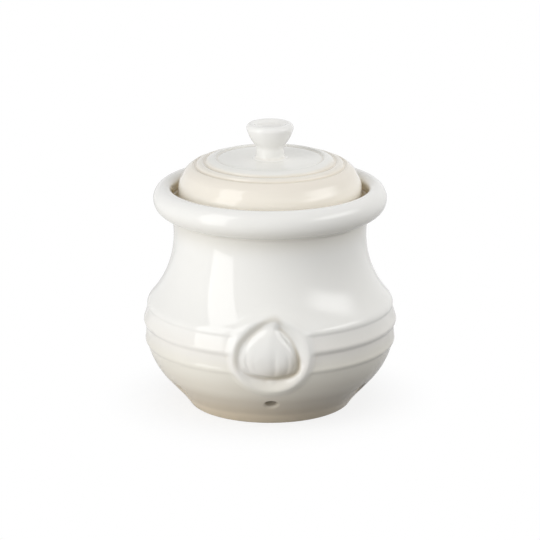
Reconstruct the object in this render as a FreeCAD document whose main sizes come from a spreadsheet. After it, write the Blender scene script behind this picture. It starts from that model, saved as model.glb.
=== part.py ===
import FreeCAD, Part
import math
import os
import Sketcher
from types import SimpleNamespace

# Garlic keeper: a turned stoneware pot with a roll rim, vents near its foot and a garlic medallion,
# a lid that drops inside the rim, and a knob luted to the lid.
# Millimetres, +Z up, origin on the table under the middle of the foot, medallion facing -Y.

doc = FreeCAD.newDocument("garlic_keeper")

# ---------------------------------------------------------------- sizes
# A radius is from the vertical axis, and a height is from the table unless its note says otherwise.
sizes = {
    # foot and underside
    "foot_radius": 40.9,            # foot ring on the table
    "foot_edge": 0.9,               # rounding of the foot ring's outer edge
    "foot_ring_width": 5.5,         # bare ring that the pot stands on
    "foot_recess": 3.2,             # depth of the hollow under the pot
    "foot_flare": 3.1,              # how far the foot band opens up to its crease
    "foot_height": 4.9,             # crease where the foot band meets the underside
    "underside_run": 9.4,           # straight underside, outwards from the crease
    "underside_rise": 10.3,         # and upwards
    "haunch_swell": 1.0,            # how far the haunch above it swells out from a straight line
    # two lapped bands around the belly
    "belly_radius": 63.5,           # fullest place of the pot, on the upper band
    "band_start_height": 31.1,      # lower edge of the lower band
    "band_height": 9.8,             # one band
    "band_growth": 0.75,            # how much fuller the upper band is than the lower
    "band_lap": 0.5,                # how far a band's lower edge stands over what is below it
    "band_lip": 0.6,                # how far that lower edge lies in from the band's crest
    "band_crest": 2.0,              # height of the crest over the band's lower edge
    "band_face": 3.4,               # height over that edge at which the band's straight face starts
    "band_face_in": 0.15,           # how far that place lies in from the crest
    "groove_width": 0.6,            # height of the step between two bands
    # shoulder and neck
    "shoulder_drop": 1.6,           # shoulder's lower edge, in from the belly's fullest place
    "shoulder_turn": 3.6,           # height of the round lower edge of the shoulder
    "shoulder_turn_in": 1.5,        # how far that round edge comes in
    "neck_radius": 48.15,           # narrowest place of the pot
    "neck_flare": 0.5,              # how far the neck opens again above that place
    "neck_flare_height": 7.5,
    # roll rim, measured from its crown and from the wall inside it
    "pot_height": 111.9,            # crown of the rim
    "rim_depth": 14.5,              # from the crown down to where the roll's underside starts
    "rim_turn_out": 2.55,           # that place, out from the top of the neck
    "rim_turn_height": 2.9,         # and up from it
    "rim_middle_drop": 6.9,         # fullest place of the roll, below the crown
    "rim_width": 8.1,               # that place, out from the wall inside the rim
    "rim_crown_out": 3.7,           # crown, out from the wall inside the rim
    "rim_inner_drop": 3.4,          # rounded inner edge of the roll, below the crown
    # inside of the pot
    "wall": 5.5,                    # thickness of the stoneware
    "throat_wall": 6.65,            # mouth, in from the narrowest place of the neck
    "throat_depth": 7.0,            # straight throat, down from the ledge
    "throat_edge": 1.0,             # rounding of the ledge's inner edge
    "seat_drop": 8.4,               # ledge that the lid sits on, below the crown
    "seat_width": 8.6,              # ledge, from the throat to the wall inside the rim
    "floor_corner": 3.2,            # rounding between the floor and the wall
    # air vents
    "vent_count": 6,
    "vent_diameter": 6.4,           # bore of one vent
    "vent_height": 13.1,            # middle of a vent on the outside
    "vent_edge": 0.9,               # eased edge of a vent's mouth
    # medallion: a raised ring around a dish
    "medallion_height": 41.0,       # middle of the medallion
    "medallion_dish_radius": 15.0,  # inside of the ring
    "medallion_ring_width": 4.6,    # the ring, from there to its outside
    "medallion_proud": 0.8,         # ring's face, out from the belly's fullest place
    "medallion_fall_up": 7.7,       # how far its face falls back at the top
    "medallion_fall_down": 5.8,     # how far its face falls back at the bottom
    "medallion_depth": 2.6,         # depth of the dish
    "medallion_margin": 1.5,        # how far the shaping tools reach past the medallion
    # garlic bulb in the dish
    "clove_count": 4,
    "clove_width": 9.4,
    "clove_height": 19.0,           # from root to tip
    "clove_depth": 4.4,             # front to back
    "clove_sink": 0.4,              # middle of a clove, behind the dish's face
    "clove_spread": 20.0,           # degrees between neighbouring cloves
    "clove_reach": 18.0,            # from where the cloves meet to the middle of a clove
    "bulb_drop": 2.2,               # middle of the cloves, below the medallion's middle
    "stalk_width": 5.6,             # dried stalk at the bulb's tip, across its foot
    "stalk_end": 2.4,               # across its upper end
    "stalk_height": 13.0,
    "stalk_sink": 1.1,              # its foot, behind the dish's face
    "stalk_lean": 9.0,              # degrees that it leans to one side
    "stalk_tilt": 17.0,             # degrees that it tilts back with the face
    "root_width": 5.4,              # root nub under the bulb
    "root_height": 2.4,
    "root_depth": 3.0,
    "root_sink": 0.8,               # its middle, behind the dish's face
    "root_tilt": 12.0,              # degrees that it tilts back with the face
    # lid; heights over the seat
    "lid_clearance": 4.5,           # gap between the lid's side and the wall inside the rim
    "lid_side_height": 6.9,         # straight side
    "lid_foot_edge": 0.7,           # rounding of the lower edge
    "lid_turn_in": 2.4,             # round corner, in from the side
    "lid_turn_height": 13.8,
    "lid_crown_in": 7.4,            # where the sloping crown starts, in from the side
    "lid_crown_height": 18.6,
    "ring_start": 0.8,              # outer groove, in from where the crown starts
    "outer_ring_width": 4.7,        # ring between the outer and the middle groove
    "inner_ring_width": 6.5,        # ring between the middle groove and the disc
    "ring_groove_width": 1.3,
    "ring_groove_depth": 0.6,
    "ring_swell": 0.35,             # how far a ring swells between its grooves
    "crown_rise": 3.9,              # rise of the crown up to the disc
    "disc_sink": 0.75,              # disc, below the ring around it
    "lid_wall": 5.2,                # thickness of the dome
    "lid_hollow_side": 8.5,         # straight side of the hollow
    "flange_clearance": 1.0,        # gap between the flange and the throat
    "flange_width": 4.6,            # thickness of the flange
    "flange_depth": 5.5,            # flange, below the seat
    "flange_edge": 0.8,             # rounding of the flange's lower edges
    # knob; heights over the lid's disc
    "knob_root_radius": 9.2,        # where it meets the disc
    "stem_radius": 6.9,             # waist
    "stem_height": 4.6,
    "knob_swell_radius": 8.4,       # where the stem opens into the cup
    "knob_swell_height": 7.9,
    "knob_cup_radius": 10.85,       # side of the cup
    "knob_cup_height": 11.9,
    "knob_radius": 11.75,           # widest place
    "knob_radius_height": 15.8,
    "knob_lip_radius": 9.3,         # crown of the lip
    "knob_height": 18.5,
    "knob_lip_fall": 0.15,          # how far the lip has fallen half way to the hollow
    "knob_dish_radius": 6.6,        # hollow in the top
    "knob_dish_depth": 1.5,
    "knob_dish_flat": 2.5,          # level floor of that hollow
}

sheet = doc.addObject("Spreadsheet::Sheet", "Sizes")
for row, (name, value) in enumerate(sizes.items(), start=1):
    sheet.set(f"A{row}", name)
    sheet.set(f"B{row}", str(value))
    sheet.setAlias(f"B{row}", name)
doc.recompute()


# ---------------------------------------------------------------- formulas on the sheet
class Formula:
    """A size worked out from the sheet: its text for setExpression, and what it comes to."""

    def __init__(self, text, value):
        self.text = text
        self.value = value

    def joined(self, sign, other, value):
        return Formula(f"({self.text} {sign} {other.text})", value)

    def __add__(self, other):
        other = formula(other)
        return self.joined("+", other, self.value + other.value)

    def __sub__(self, other):
        other = formula(other)
        return self.joined("-", other, self.value - other.value)

    def __mul__(self, other):
        other = formula(other)
        return self.joined("*", other, self.value * other.value)

    def __truediv__(self, other):
        other = formula(other)
        return self.joined("/", other, self.value / other.value)

    def __rmul__(self, number):
        return formula(number) * self

    def __rsub__(self, number):
        return formula(number) - self

    def __neg__(self):
        return -1 * self


def formula(item):
    return item if isinstance(item, Formula) else Formula(str(item), item)


def root_of(item):
    return Formula(f"sqrt({item.text})", math.sqrt(item.value))


def length_of(run, rise):
    return root_of(run * run + rise * rise)


def sine(degrees):
    return Formula(f"sin({degrees.text} * 1 deg)", math.sin(math.radians(degrees.value)))


def cosine(degrees):
    return Formula(f"cos({degrees.text} * 1 deg)", math.cos(math.radians(degrees.value)))


def arc_sine(ratio):
    return Formula(f"(asin({ratio.text}) / 1 deg)", math.degrees(math.asin(ratio.value)))


def arc_tangent(ratio):
    return Formula(f"(atan({ratio.text}) / 1 deg)", math.degrees(math.atan(ratio.value)))


def placed(base, turn, lean, tilt):
    """Text of a placement at base, tilted about X, then leaned about Y and turned about Z."""
    place = "; ".join(formula(item).text for item in base)
    angles = "; ".join(formula(item).text for item in (turn, lean, tilt))
    return f"create(<<placement>>; create(<<vector>>; {place}); create(<<rotation>>; {angles}))"


size = SimpleNamespace(**{name: Formula(f"Sizes.{name}", value) for name, value in sizes.items()})


# ---------------------------------------------------------------- turned sections
# A section is a closed loop of corners (radius, height, edge), and edge says how the outline goes on from
# there: LINE, through(radius, height) for an arc past that place, or LEVEL_START or LEVEL_END for an arc
# whose centre is level with its start or its end, so that it leaves or meets that corner upright.
LINE = "line"
LEVEL_START = "level start"
LEVEL_END = "level end"


def through(radius, height):
    return (formula(radius), formula(height))


def rounded(radius, height, edge, side, way):
    """Arc of a rounded corner: edge is its size, side and way say where it lies from the corner."""
    inset = (1 - math.sqrt(0.5)) * edge
    return through(radius + side * inset, height + way * inset)


def point_at(place):
    return FreeCAD.Vector(formula(place[0]).value, formula(place[1]).value, 0)


def level_arc_middle(start, end, centre_height):
    """Middle of the arc from start to end whose centre lies at centre_height."""
    chord_middle = (start + end) * 0.5
    chord = end - start
    centre_x = chord_middle.x - (centre_height - chord_middle.y) * chord.y / chord.x
    centre = FreeCAD.Vector(centre_x, centre_height, 0)
    return centre + (chord_middle - centre).normalize() * centre.distanceToPoint(start)


def hold_point(sketch, geometry, vertex, place, label):
    """Hold one vertex at the radius and height that its two formulas give."""
    for kind, suffix, item in (("DistanceX", "radius", place[0]), ("DistanceY", "height", place[1])):
        item = formula(item)
        index = sketch.addConstraint(Sketcher.Constraint(kind, -1, 1, geometry, vertex, float(item.value)))
        sketch.renameConstraint(index, f"{label}_{suffix}")
        sketch.setExpression(f"Constraints.{label}_{suffix}", item.text)


def add_edge(sketch, corner, following):
    """Add the edge from one corner to the next, and return its number and its two vertices in order."""
    start = point_at(corner)
    end = point_at(following)
    edge = corner[2]
    if edge == LINE:
        return sketch.addGeometry(Part.LineSegment(start, end), False), 1, 2
    if edge in (LEVEL_START, LEVEL_END):
        passing = level_arc_middle(start, end, start.y if edge == LEVEL_START else end.y)
    else:
        passing = point_at(edge)
    geometry = sketch.addGeometry(Part.ArcOfCircle(start, passing, end), False)
    to_first = sketch.getPoint(geometry, 1).distanceToPoint(start)
    to_second = sketch.getPoint(geometry, 2).distanceToPoint(start)
    return (geometry, 1, 2) if to_first < to_second else (geometry, 2, 1)


def draw_section(sketch, corners):
    """Draw the closed outline with every corner and arc held by the sheet."""
    followers = corners[1:] + corners[:1]
    edges = [add_edge(sketch, corner, following) for corner, following in zip(corners, followers)]
    for index, (geometry, start, end) in enumerate(edges):
        next_geometry, next_start, _ = edges[(index + 1) % len(edges)]
        sketch.addConstraint(Sketcher.Constraint("Coincident", geometry, end, next_geometry, next_start))
        hold_point(sketch, geometry, start, corners[index], f"corner{index}")
    for index, (geometry, start, end) in enumerate(edges):
        edge = corners[index][2]
        if edge in (LEVEL_START, LEVEL_END):
            level = start if edge == LEVEL_START else end
            sketch.addConstraint(Sketcher.Constraint("Horizontal", geometry, 3, geometry, level))
        elif edge != LINE:
            mark = sketch.addGeometry(Part.Point(point_at(edge)), True)
            hold_point(sketch, mark, 1, edge, f"arc{index}")
            sketch.addConstraint(Sketcher.Constraint("PointOnObject", mark, 1, geometry))


def origin_feature(body, role):
    return next(feature for feature in body.Origin.OriginFeatures if feature.Role == role)


def turned_body(label, corners):
    """A body whose one solid is the section turned about the vertical axis."""
    body = doc.addObject("PartDesign::Body", label)
    body.Label = label
    sketch = body.newObject("Sketcher::SketchObject", f"{label}_section")
    sketch.AttachmentSupport = [(origin_feature(body, "XZ_Plane"), "")]
    sketch.MapMode = "FlatFace"
    doc.recompute()
    draw_section(sketch, corners)
    turning = body.newObject("PartDesign::Revolution", f"{label}_turning")
    turning.Profile = sketch
    turning.ReferenceAxis = (sketch, ["V_Axis"])
    turning.Angle = 360
    body.Tip = turning
    doc.recompute()
    return body


# ---------------------------------------------------------------- pot
crease_radius = size.foot_radius + size.foot_flare
underside_radius = crease_radius + size.underside_run
underside_height = size.foot_height + size.underside_rise
underside_slant = length_of(size.underside_run, size.underside_rise)
throat_radius = size.neck_radius - size.throat_wall
rim_inner_radius = throat_radius + size.seat_width
seat_height = size.pot_height - size.seat_drop


def inside_underside(radius, height):
    """A place on the straight underside, moved square into the pot by the wall."""
    return (radius - size.wall * size.underside_rise / underside_slant,
            height + size.wall * size.underside_run / underside_slant)


def swell(start, end, height):
    """Middle of the line from start to end, moved out by height, square to that line."""
    run = end[0] - start[0]
    rise = end[1] - start[1]
    length = length_of(run, rise)
    return through(0.5 * (start[0] + end[0]) + height * rise / length,
                   0.5 * (start[1] + end[1]) - height * run / length)


def band(index, crest, radius_above):
    """One lapped band: its lower edge stands out over what is below, its top tucks in under the next."""
    bottom = size.band_start_height + index * size.band_height
    return [
        (crest - size.band_lip, bottom + 0.5 * size.groove_width, through(crest, bottom + size.band_crest)),
        (crest - size.band_face_in, bottom + size.band_face, LINE),
        (radius_above - size.band_lap, bottom + size.band_height - 0.5 * size.groove_width, LINE),
    ]


def pot_section():
    lower_crest = size.belly_radius - size.band_growth
    haunch_start = (underside_radius, underside_height)
    haunch_end = (lower_crest - size.band_lip - size.band_lap,
                  size.band_start_height - 0.5 * size.groove_width)
    shoulder_radius = size.belly_radius - size.shoulder_drop
    shoulder_height = size.band_start_height + 2 * size.band_height
    shoulder_turn = through(shoulder_radius - 0.25 * size.shoulder_turn_in,
                            shoulder_height + 0.5 * size.shoulder_turn)
    neck_foot_radius = shoulder_radius - size.shoulder_turn_in
    neck_foot_height = shoulder_height + size.shoulder_turn
    rim_under_height = size.pot_height - size.rim_depth
    neck_top_radius = size.neck_radius + size.neck_flare
    neck_top_height = rim_under_height - size.rim_turn_height
    neck_height = neck_top_height - size.neck_flare_height
    outside = [
        (size.foot_radius - size.foot_edge, 0,
         rounded(size.foot_radius, formula(0), size.foot_edge, -1, 1)),
        (size.foot_radius, size.foot_edge, LINE),
        (crease_radius, size.foot_height, LINE),
        (*haunch_start, swell(haunch_start, haunch_end, size.haunch_swell)),
        (*haunch_end, LINE),
        *band(0, lower_crest, size.belly_radius - size.band_lip),
        *band(1, size.belly_radius, shoulder_radius),
        (shoulder_radius, shoulder_height + 0.5 * size.groove_width, shoulder_turn),
        (neck_foot_radius, neck_foot_height, LEVEL_END),
        (size.neck_radius, neck_height, LEVEL_START),
        (neck_top_radius, neck_top_height,
         through(neck_top_radius + 0.3 * size.rim_turn_out, neck_top_height + 0.74 * size.rim_turn_height)),
        (neck_top_radius + size.rim_turn_out, rim_under_height,
         through(rim_inner_radius + size.rim_width, size.pot_height - size.rim_middle_drop)),
        (rim_inner_radius + size.rim_crown_out, size.pot_height,
         through(rim_inner_radius + 0.26 * size.rim_crown_out,
                 size.pot_height - 0.26 * size.rim_inner_drop)),
    ]
    # the neck is an arc about a centre outside it, level with its narrowest place, and so is its inside
    neck_in = neck_foot_radius - size.neck_radius
    neck_rise = neck_height - neck_foot_height
    neck_arc = (neck_in * neck_in + neck_rise * neck_rise) / (2 * neck_in)
    floor = size.foot_recess + size.wall
    foot_inner = size.foot_radius - size.foot_ring_width
    corner_radius, corner_height = inside_underside(crease_radius, size.foot_height)
    corner_step = size.floor_corner / underside_slant
    inside = [
        (rim_inner_radius, size.pot_height - size.rim_inner_drop, LINE),
        (rim_inner_radius, seat_height, LINE),
        (throat_radius + size.throat_edge, seat_height,
         rounded(throat_radius, seat_height, size.throat_edge, 1, -1)),
        (throat_radius, seat_height - size.throat_edge, LINE),
        (throat_radius, seat_height - size.throat_depth, LINE),
        (size.neck_radius - size.wall, neck_height, LEVEL_START),
        (neck_foot_radius - size.wall * (neck_arc - neck_in) / neck_arc,
         neck_foot_height - size.wall * neck_rise / neck_arc,
         through(size.belly_radius - size.wall, size.band_start_height + size.band_height)),
        (*inside_underside(underside_radius, underside_height), LINE),
        (corner_radius + corner_step * size.underside_run,
         corner_height + corner_step * size.underside_rise,
         through(corner_radius - 0.1 * size.floor_corner, floor + 0.25 * size.floor_corner)),
        (corner_radius - size.floor_corner, floor, LINE),
        (0, floor, LINE),
        (0, size.foot_recess, LINE),
        (foot_inner - size.foot_recess, size.foot_recess, LINE),
        (foot_inner, 0, LINE),
    ]
    return outside + inside


def vent_place(distance):
    """Placement on the front vent's axis, this far out from the underside, pointing into the pot."""
    out = distance / underside_slant
    slope = size.underside_run / size.underside_rise
    radius = crease_radius + (size.vent_height - size.foot_height) * slope
    base = (0, -(radius + out * size.underside_rise), size.vent_height - out * size.underside_run)
    return placed(base, 0, 0, arc_tangent(slope) - 90)


def cut_vents(body):
    """Round vents with eased mouths, square to the underside and spaced evenly about the axis."""
    bore = body.newObject("PartDesign::SubtractiveCylinder", "vent_bore")
    bore.setExpression("Radius", (size.vent_diameter / 2).text)
    bore.setExpression("Height", (2 * size.vent_diameter + 2 * size.wall).text)
    bore.setExpression("Placement", vent_place(size.vent_diameter))
    doc.recompute()
    mouth = body.newObject("PartDesign::SubtractiveCone", "vent_mouth")
    mouth.setExpression("Radius1", (size.vent_diameter / 2 + 2 * size.vent_edge).text)
    mouth.setExpression("Radius2", (size.vent_diameter / 2).text)
    mouth.setExpression("Height", (2 * size.vent_edge).text)
    mouth.setExpression("Placement", vent_place(size.vent_edge))
    doc.recompute()
    ring = body.newObject("PartDesign::PolarPattern", "vent_ring")
    ring.Originals = [bore, mouth]
    ring.Axis = (origin_feature(body, "Z_Axis"), [""])
    ring.Angle = 360
    ring.setExpression("Occurrences", size.vent_count.text)
    body.Tip = ring
    doc.recompute()


medallion_radius = size.medallion_dish_radius + size.medallion_ring_width


def medallion_skin(label, set_back, thickness):
    """A turned shell this thick, whose outside is the medallion's face moved in by set_back."""
    sketch = doc.addObject("Sketcher::SketchObject", f"{label}_section")
    sketch.Placement = FreeCAD.Placement(FreeCAD.Vector(), FreeCAD.Rotation(FreeCAD.Vector(1, 0, 0), 90))
    reach = medallion_radius + size.medallion_margin
    face = size.belly_radius + size.medallion_proud - set_back
    low = face - size.medallion_fall_down
    high = face - size.medallion_fall_up
    bottom = size.medallion_height - reach
    top = size.medallion_height + reach
    draw_section(sketch, [
        (low, bottom, through(face, size.medallion_height)),
        (high, top, LINE),
        (high - thickness, top, through(face - thickness, size.medallion_height)),
        (low - thickness, bottom, LINE),
    ])
    skin = doc.addObject("Part::Revolution", label)
    skin.Source = sketch
    skin.Axis = (0, 0, 1)
    skin.Base = (0, 0, 0)
    skin.Angle = 360
    skin.Solid = True
    return skin


def facing_bar(label, radius):
    """A round bar along -Y through the medallion's middle, from inside the pot to well in front of it."""
    bar = doc.addObject("Part::Cylinder", label)
    bar.setExpression("Radius", radius.text)
    bar.setExpression("Height", size.belly_radius.text)
    bar.setExpression("Placement", placed((0, -0.5 * size.belly_radius, size.medallion_height), 0, 0, 90))
    return bar


def boolean(kind, label, base, tool):
    result = doc.addObject(kind, label)
    result.Base = base
    result.Tool = tool
    return result


def face_place(across, height, sink, lean, tilt):
    """Placement near the dish's face: this far across, at this height, sunk in, leaning and tilted."""
    bowl = size.belly_radius + size.medallion_proud - size.medallion_depth - sink
    base = (across, -root_of(bowl * bowl - across * across), height)
    return placed(base, arc_sine(across / bowl), lean, tilt)


def egg(label, height, width, depth):
    """An ellipsoid with these three diameters, along its own Z, X and Y."""
    shape = doc.addObject("Part::Ellipsoid", label)
    shape.setExpression("Radius1", (height / 2).text)
    shape.setExpression("Radius2", (width / 2).text)
    shape.setExpression("Radius3", (depth / 2).text)
    shape.Angle1 = -90
    shape.Angle2 = 90
    shape.Angle3 = 360
    return shape


def clove(index):
    """One clove, leaning so that all the cloves meet at the foot of the stalk."""
    shape = egg(f"clove_{index + 1}", size.clove_height, size.clove_width, size.clove_depth)
    lean = (index - 0.5 * (size.clove_count - 1)) * size.clove_spread
    height = size.medallion_height - size.bulb_drop + size.clove_reach * (1 - cosine(lean))
    place = face_place(size.clove_reach * sine(lean), height, size.clove_sink, -lean, 0)
    shape.setExpression("Placement", place)
    return shape


def stalk():
    """Dried stalk that tapers up from where the cloves meet and follows the face back."""
    cone = doc.addObject("Part::Cone", "stalk")
    cone.setExpression("Radius1", (size.stalk_width / 2).text)
    cone.setExpression("Radius2", (size.stalk_end / 2).text)
    cone.setExpression("Height", size.stalk_height.text)
    height = size.medallion_height - size.bulb_drop + 0.35 * size.clove_height
    place = face_place(formula(0), height, size.stalk_sink, size.stalk_lean, -size.stalk_tilt)
    cone.setExpression("Placement", place)
    return cone


def root():
    """Root nub at the lower end of the bulb."""
    nub = egg("root", size.root_height, size.root_width, size.root_depth)
    height = size.medallion_height - size.bulb_drop - 0.5 * size.clove_height - 0.5 * size.root_height
    place = face_place(formula(0), height, size.root_sink, 0, size.root_tilt)
    nub.setExpression("Placement", place)
    return nub


def make_pot():
    turned = turned_body("pot_wall", pot_section())
    cut_vents(turned)
    plate = boolean("Part::Common", "medallion_plate",
                    medallion_skin("medallion_shell", 0, 0.5 * size.wall),
                    facing_bar("medallion_round", medallion_radius))
    dish = boolean("Part::Common", "medallion_dish",
                   medallion_skin("dish_shell", -size.medallion_margin,
                                  size.medallion_margin + size.medallion_depth),
                   facing_bar("dish_round", size.medallion_dish_radius))
    bulb = doc.addObject("Part::MultiFuse", "bulb")
    bulb.Shapes = [clove(index) for index in range(int(sizes["clove_count"]))] + [stalk(), root()]
    plated = boolean("Part::Fuse", "pot_with_plate", turned, plate)
    dished = boolean("Part::Cut", "pot_with_dish", plated, dish)
    return boolean("Part::Fuse", "pot", dished, bulb)


# ---------------------------------------------------------------- lid
lid_radius = rim_inner_radius - size.lid_clearance
crown_radius = lid_radius - size.lid_crown_in
crown_height = seat_height + size.lid_crown_height
disc_inset = size.ring_start + size.outer_ring_width + size.inner_ring_width
disc_height = crown_height + size.crown_rise - size.disc_sink


def on_crown(inset, lift=0):
    """A place on the lid's sloping crown, this far in from where it starts and lifted off it."""
    return crown_radius - inset, crown_height + inset * size.crown_rise / disc_inset + lift


def groove_and_ring(inset, ring_width):
    """Corners of a ring groove and of the swelling ring inside it."""
    half = 0.5 * size.ring_groove_width
    return [
        (*on_crown(inset - half), through(*on_crown(inset, -size.ring_groove_depth))),
        (*on_crown(inset + half), through(*on_crown(inset + 0.5 * ring_width, size.ring_swell))),
    ]


def lid_section():
    half_groove = 0.5 * size.ring_groove_width
    outside = [
        (throat_radius - size.flange_clearance, seat_height, LINE),
        (lid_radius - size.lid_foot_edge, seat_height,
         rounded(lid_radius, seat_height, size.lid_foot_edge, -1, 1)),
        (lid_radius, seat_height + size.lid_foot_edge, LINE),
        (lid_radius, seat_height + size.lid_side_height,
         through(lid_radius - size.lid_turn_in, seat_height + size.lid_turn_height)),
        (crown_radius, crown_height, LINE),
        *groove_and_ring(size.ring_start, size.outer_ring_width),
        *groove_and_ring(size.ring_start + size.outer_ring_width, size.inner_ring_width),
        (*on_crown(disc_inset - half_groove),
         through(crown_radius - disc_inset, disc_height - 0.5 * size.ring_groove_depth)),
        (crown_radius - disc_inset - half_groove, disc_height, LINE),
        (0, disc_height, LINE),
    ]
    flange_radius = throat_radius - size.flange_clearance
    flange_inner = flange_radius - size.flange_width
    flange_low = seat_height - size.flange_depth
    under_disc = disc_height - size.lid_wall
    under_disc_radius = crown_radius - disc_inset - 0.5 * size.lid_wall
    hollow_height = seat_height + size.lid_hollow_side
    inside = [
        (0, under_disc, LINE),
        (under_disc_radius, under_disc,
         through(under_disc_radius + 0.72 * (flange_inner - under_disc_radius),
                 under_disc - 0.25 * (under_disc - hollow_height))),
        (flange_inner, hollow_height, LINE),
        (flange_inner, flange_low + size.flange_edge,
         rounded(flange_inner, flange_low, size.flange_edge, 1, 1)),
        (flange_inner + size.flange_edge, flange_low, LINE),
        (flange_radius - size.flange_edge, flange_low,
         rounded(flange_radius, flange_low, size.flange_edge, -1, 1)),
        (flange_radius, flange_low + size.flange_edge, LINE),
    ]
    return outside + inside


# ---------------------------------------------------------------- knob
def knob_section():
    top = disc_height + size.knob_height
    stem_turn_radius = size.stem_radius + 0.22 * (size.knob_root_radius - size.stem_radius)
    flare_radius = size.stem_radius + 0.36 * (size.knob_swell_radius - size.stem_radius)
    flare_height = size.stem_height + 0.55 * (size.knob_swell_height - size.stem_height)
    edge_radius = size.knob_lip_radius + 0.8 * (size.knob_radius - size.knob_lip_radius)
    edge_height = size.knob_radius_height + 0.68 * (size.knob_height - size.knob_radius_height)
    lip_radius = size.knob_dish_radius + 0.45 * (size.knob_lip_radius - size.knob_dish_radius)
    return [
        (0, disc_height, LINE),
        (size.knob_root_radius, disc_height,
         through(stem_turn_radius, disc_height + 0.36 * size.stem_height)),
        (size.stem_radius, disc_height + size.stem_height,
         through(flare_radius, disc_height + flare_height)),
        (size.knob_swell_radius, disc_height + size.knob_swell_height,
         through(size.knob_cup_radius, disc_height + size.knob_cup_height)),
        (size.knob_radius, disc_height + size.knob_radius_height,
         through(edge_radius, disc_height + edge_height)),
        (size.knob_lip_radius, top, through(lip_radius, top - size.knob_lip_fall)),
        (size.knob_dish_radius, top - 0.4 * size.knob_dish_depth,
         through(0.5 * (size.knob_dish_radius + size.knob_dish_flat), top - 0.85 * size.knob_dish_depth)),
        (size.knob_dish_flat, top - size.knob_dish_depth, LINE),
        (0, top - size.knob_dish_depth, LINE),
    ]


# ---------------------------------------------------------------- checks and files
pot = make_pot()
lid = turned_body("lid", lid_section())
knob = turned_body("knob", knob_section())
doc.recompute()

for item in doc.Objects:
    if "Invalid" in item.State or "Error" in item.State:
        raise RuntimeError(f"{item.Label}: {item.getStatusString()}")

nodes = [pot, lid, knob]
for node in nodes:
    if node.Shape.isNull() or not node.Shape.isValid() or len(node.Shape.Solids) != 1:
        raise RuntimeError(f"{node.Label} is not one sound solid")

os.makedirs("parts", exist_ok=True)
for node in nodes:
    node.Shape.exportStep(f"parts/{node.Label}.step")
    print(f"{node.Label}: {node.Shape.Volume / 1000:.1f} cm3")
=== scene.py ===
# Garlic keeper in glazed stoneware: a round-bellied pot with a roll rim, air vents and a garlic medallion,
# under a stepped lid with a small cupped knob. Lengths are in millimetres until a mesh is made.
import math

import bpy
import numpy as np
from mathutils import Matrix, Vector


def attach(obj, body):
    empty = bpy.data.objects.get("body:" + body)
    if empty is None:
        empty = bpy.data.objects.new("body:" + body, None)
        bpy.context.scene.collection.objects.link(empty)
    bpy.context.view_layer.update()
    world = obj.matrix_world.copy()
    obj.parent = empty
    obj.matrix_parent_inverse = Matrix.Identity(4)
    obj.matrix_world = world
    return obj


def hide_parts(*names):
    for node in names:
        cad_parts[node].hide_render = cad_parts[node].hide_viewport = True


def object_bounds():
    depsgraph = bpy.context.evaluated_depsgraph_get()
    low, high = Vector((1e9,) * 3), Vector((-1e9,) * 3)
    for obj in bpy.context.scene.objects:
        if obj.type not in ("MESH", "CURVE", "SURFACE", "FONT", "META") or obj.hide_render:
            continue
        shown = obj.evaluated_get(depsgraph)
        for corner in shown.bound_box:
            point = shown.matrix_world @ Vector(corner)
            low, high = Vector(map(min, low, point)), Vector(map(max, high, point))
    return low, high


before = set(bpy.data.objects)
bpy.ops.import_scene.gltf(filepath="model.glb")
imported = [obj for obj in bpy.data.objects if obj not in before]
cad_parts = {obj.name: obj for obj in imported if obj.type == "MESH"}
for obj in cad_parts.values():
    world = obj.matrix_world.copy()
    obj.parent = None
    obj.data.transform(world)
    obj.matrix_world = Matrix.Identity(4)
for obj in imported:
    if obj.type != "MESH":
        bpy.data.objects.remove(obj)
cadBox = [list(corner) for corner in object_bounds()]
mm = 0.001
perMetre = 1000
print("frame loaded:", sorted(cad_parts))


# outlines: named corners, (radius, height) or (radius, height, via), where the way to the next corner is
# the arc through via

def arcThrough(start, via, end, count):
    # points on the circle through three places: its centre solves |p - start| = |p - via| = |p - end|
    sides = 2 * np.array([np.subtract(via, start), np.subtract(end, start)])
    squares = [np.dot(place, place) - np.dot(start, start) for place in (via, end)]
    centre = np.linalg.solve(sides, squares)
    first, middle, last = (math.atan2(*np.subtract(place, centre)[::-1]) for place in (start, via, end))
    turn = (last - first) % (2 * math.pi)
    if (middle - first) % (2 * math.pi) > turn:
        turn -= 2 * math.pi
    angles = first + turn * np.linspace(0, 1, count)
    return centre + math.dist(start, centre) * np.c_[np.cos(angles), np.sin(angles)]


def levelVia(start, end, level):
    # middle of the arc from start to end whose centre lies at this height
    middle, chord = np.add(start, end) / 2, np.subtract(end, start)
    centre = np.array([middle[0] - (level - middle[1]) * chord[1] / chord[0], level])
    out = middle - centre
    return tuple(centre + out / math.hypot(*out) * math.dist(start, centre))


def roundedVia(corner, edge, side, way):
    # middle of a rounded corner of this size, which lies to one side and one way of the sharp corner
    inset = (1 - math.sqrt(0.5)) * edge
    return corner[0] + side * inset, corner[1] + way * inset


def partWay(start, end, across, up):
    # a place that is these shares of the way from start to end
    return start[0] + across * (end[0] - start[0]), start[1] + up * (end[1] - start[1])


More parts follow.
